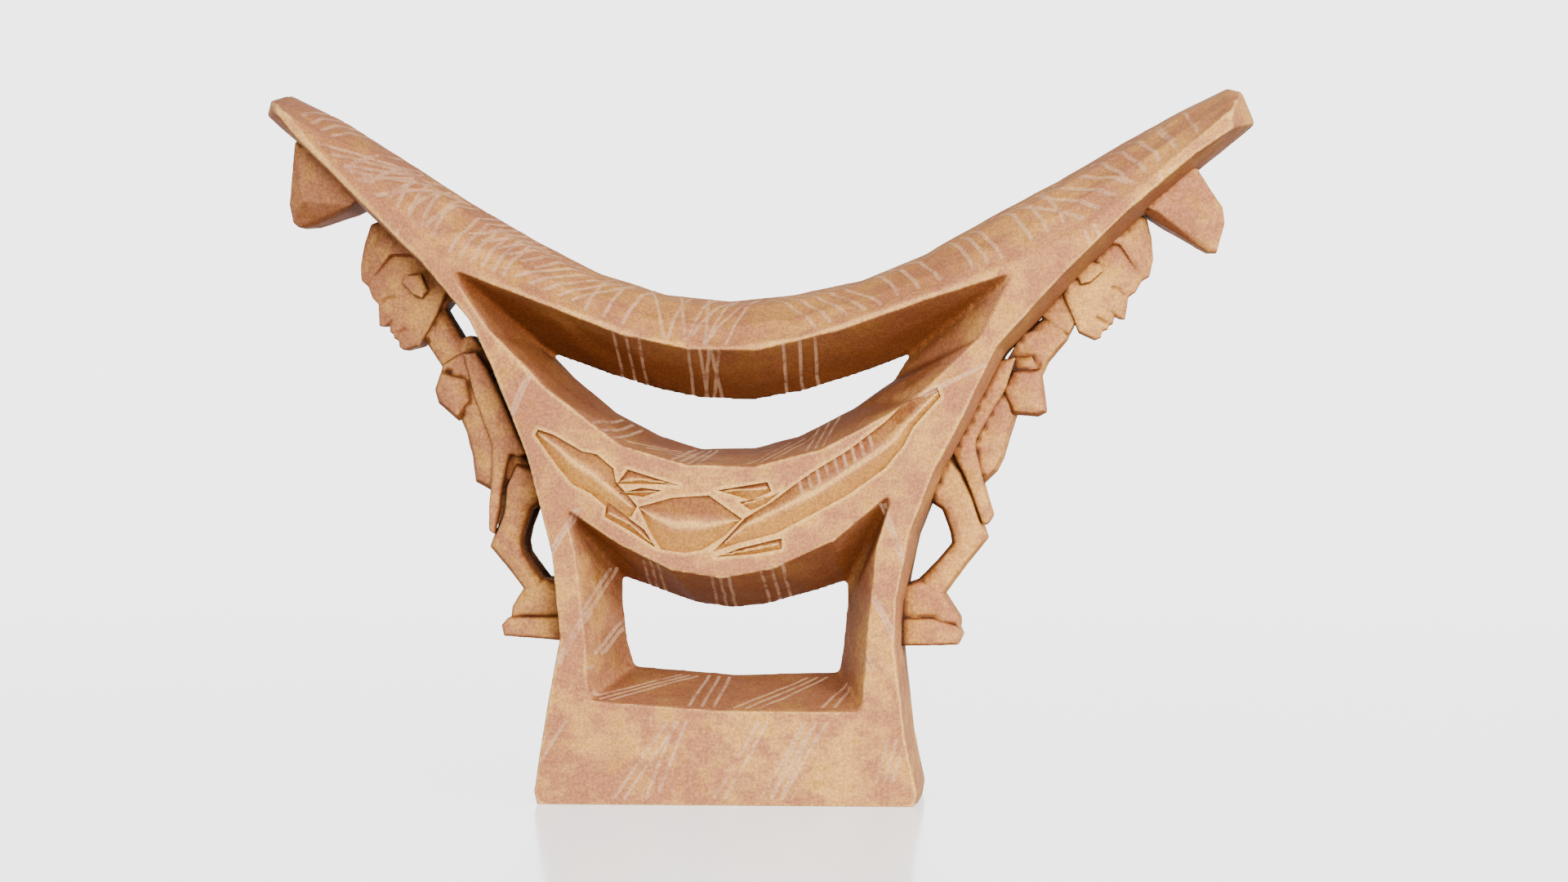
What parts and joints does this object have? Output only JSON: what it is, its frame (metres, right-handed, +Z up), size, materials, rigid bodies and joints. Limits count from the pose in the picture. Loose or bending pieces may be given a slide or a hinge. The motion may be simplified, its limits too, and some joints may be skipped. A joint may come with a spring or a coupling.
{
  "type": "headrest",
  "caption": "Carved wooden headrest: crescent neck rest and lower arch on two flared posts, crocodile relief in front, a seated figure outside each post.",
  "frame": {"origin": "centre of the flat underside of the base", "axes": "+X along the neck rest towards its longer arm, +Y from the face with the crocodile to the back, +Z up"},
  "size_m": [0.2416, 0.046, 0.1726],
  "materials": {
    "wood": "waxed carved hardwood with a mottled pinkish-brown patina, worn to ochre on its edges",
    "pale_wood": "paler handled wood, yellowish where it is worn",
    "ochre_wood": "ochre wood in the sunk ground of the relief",
    "dark_wood": "darker, glossier wood"
  },
  "bodies": {
    "root": {"base": "wood", "left_post": "pale_wood", "right_post": "pale_wood", "lower_arch": "wood", "neck_rest": "wood", "left_arm": "wood", "right_arm": "wood", "left_lug": "wood", "right_lug": "wood", "crocodile_head": "pale_wood", "crocodile_body": "pale_wood", "crocodile_tail": "ochre_wood", "crocodile_front_legs": "ochre_wood", "crocodile_hind_legs": "ochre_wood", "left_figure_head": "pale_wood", "left_figure_neck": "wood", "left_figure_torso": "pale_wood", "left_figure_bust": "wood", "left_figure_front_arm": "wood", "left_figure_back_arm": "wood", "left_figure_front_leg": "wood", "left_figure_back_leg": "wood", "left_figure_feet": "dark_wood", "left_figure_ledge": "wood", "right_figure_head": "pale_wood", "right_figure_neck": "wood", "right_figure_torso": "pale_wood", "right_figure_bust": "wood", "right_figure_front_arm": "wood", "right_figure_back_arm": "wood", "right_figure_front_leg": "wood", "right_figure_back_leg": "wood", "right_figure_feet": "dark_wood", "right_figure_ledge": "wood"}
  },
  "joints": []
}
